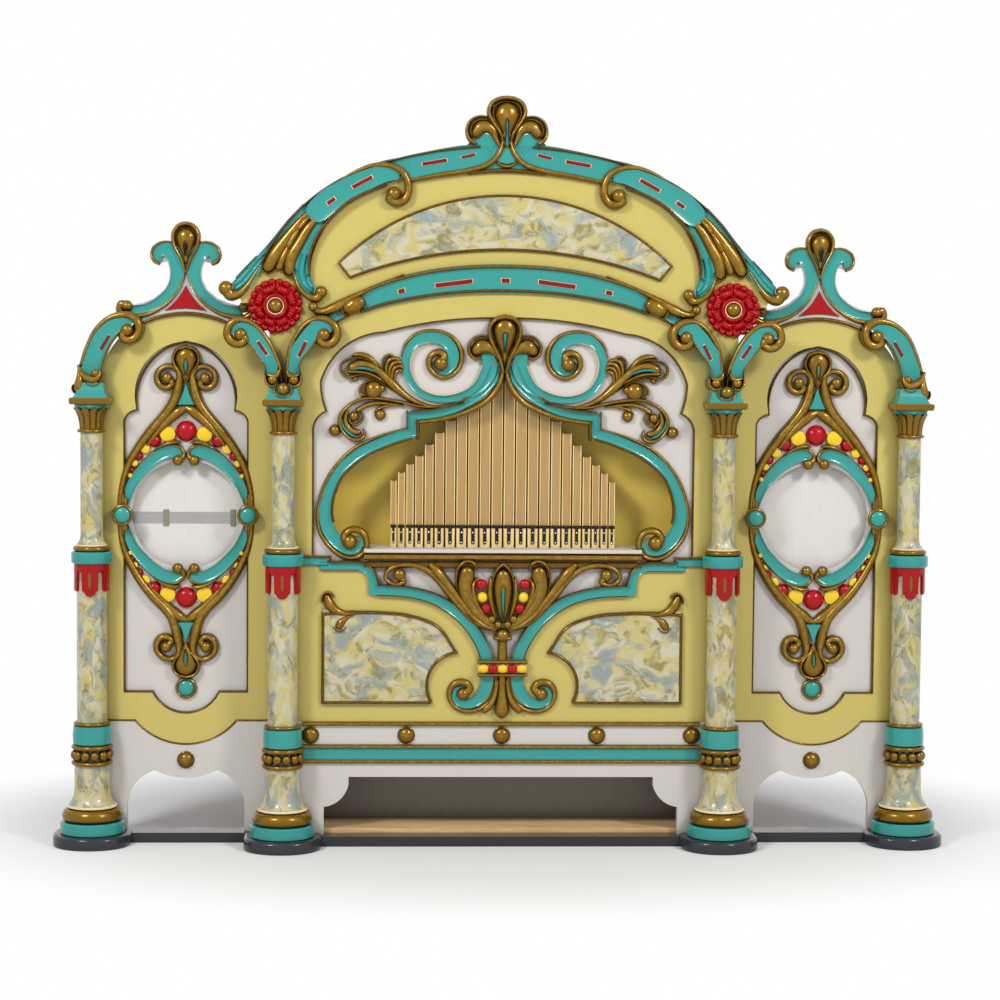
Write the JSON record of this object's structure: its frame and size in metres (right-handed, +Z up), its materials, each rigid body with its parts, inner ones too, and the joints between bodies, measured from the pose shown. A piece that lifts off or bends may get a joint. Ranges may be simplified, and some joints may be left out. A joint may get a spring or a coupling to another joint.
{
  "type": "fairground organ",
  "caption": "Carved and painted fairground organ front with columns, arched head, pipe niche, two drum openings and a plain boarded case.",
  "frame": {"origin": "on the floor, midway across the width and midway through the depth", "axes": "+X across to the right seen from the front, +Y to the back, +Z up; the show side faces -Y"},
  "size_m": [2.646, 1, 2.23],
  "materials": {
    "case_wood": "stained and varnished case boards",
    "drum_head": "translucent drum skin",
    "drum_hoop": "polished hoop",
    "drum_shell": "varnished bent wood shell",
    "floor_wood": "bare pine boards",
    "gem_gloss": "gloss enamel on turned domes",
    "gold_paint": "bronze gold paint on carved wood",
    "grey_paint": "worn grey paint on wood",
    "marbled_paint": "hand painted marbling under varnish",
    "niche_paint": "old gold paint on wood",
    "pipe_wood": "varnished pine",
    "red_paint": "gloss red paint on carved wood",
    "turquoise_paint": "gloss turquoise paint on carved wood",
    "white_paint": "satin white paint on wood",
    "yellow_paint": "satin straw yellow paint on wood"
  },
  "bodies": {
    "root": {"bass_drum": "drum_shell", "belt_board": "white_paint", "belt_mouldings": "turquoise_paint", "buttons": "turquoise_paint", "capital_blocks": "turquoise_paint", "case_back": "case_wood", "case_floor": "floor_wood", "case_sides": "case_wood", "case_top": "case_wood", "centre_apron": "white_paint", "centre_board": "yellow_paint", "centre_panel": "white_paint", "column_bands": "turquoise_paint", "column_bases": "gold_paint", "column_capitals": "gold_paint", "column_drops": "red_paint", "column_feet": "marbled_paint", "column_lower_shafts": "marbled_paint", "column_pads": "grey_paint", "column_rings": "turquoise_paint", "column_upper_shafts": "marbled_paint", "compartment_back": "case_wood", "consoles": "turquoise_paint", "crest_finial": "gold_paint", "drum_heads": "drum_head", "drum_hoops": "drum_hoop", "drum_shelves": "case_wood", "foliage": "gold_paint", "gems": "gem_gloss", "knobs": "gold_paint", "ledge_moulding": "gold_paint", "lower_arch": "turquoise_paint", "marble_panels": "marbled_paint", "name_panel": "marbled_paint", "niche_back": "niche_paint", "opening_crest": "gold_paint", "opening_scrolls": "turquoise_paint", "palmette": "gold_paint", "pediment_board": "yellow_paint", "pipe_ledge": "white_paint", "pipe_mouths": "pipe_wood", "pipes": "pipe_wood", "plinth_rails": "grey_paint", "ribbon": "turquoise_paint", "rosettes": "red_paint", "snare_drum": "drum_shell", "snare_strip": "drum_hoop", "top_arch": "turquoise_paint", "wing_aprons": "white_paint", "wing_board_left": "yellow_paint", "wing_board_right": "yellow_paint", "wing_carvings": "gold_paint", "wing_crests": "turquoise_paint", "wing_panel_left": "white_paint", "wing_panel_right": "white_paint"}
  },
  "joints": []
}
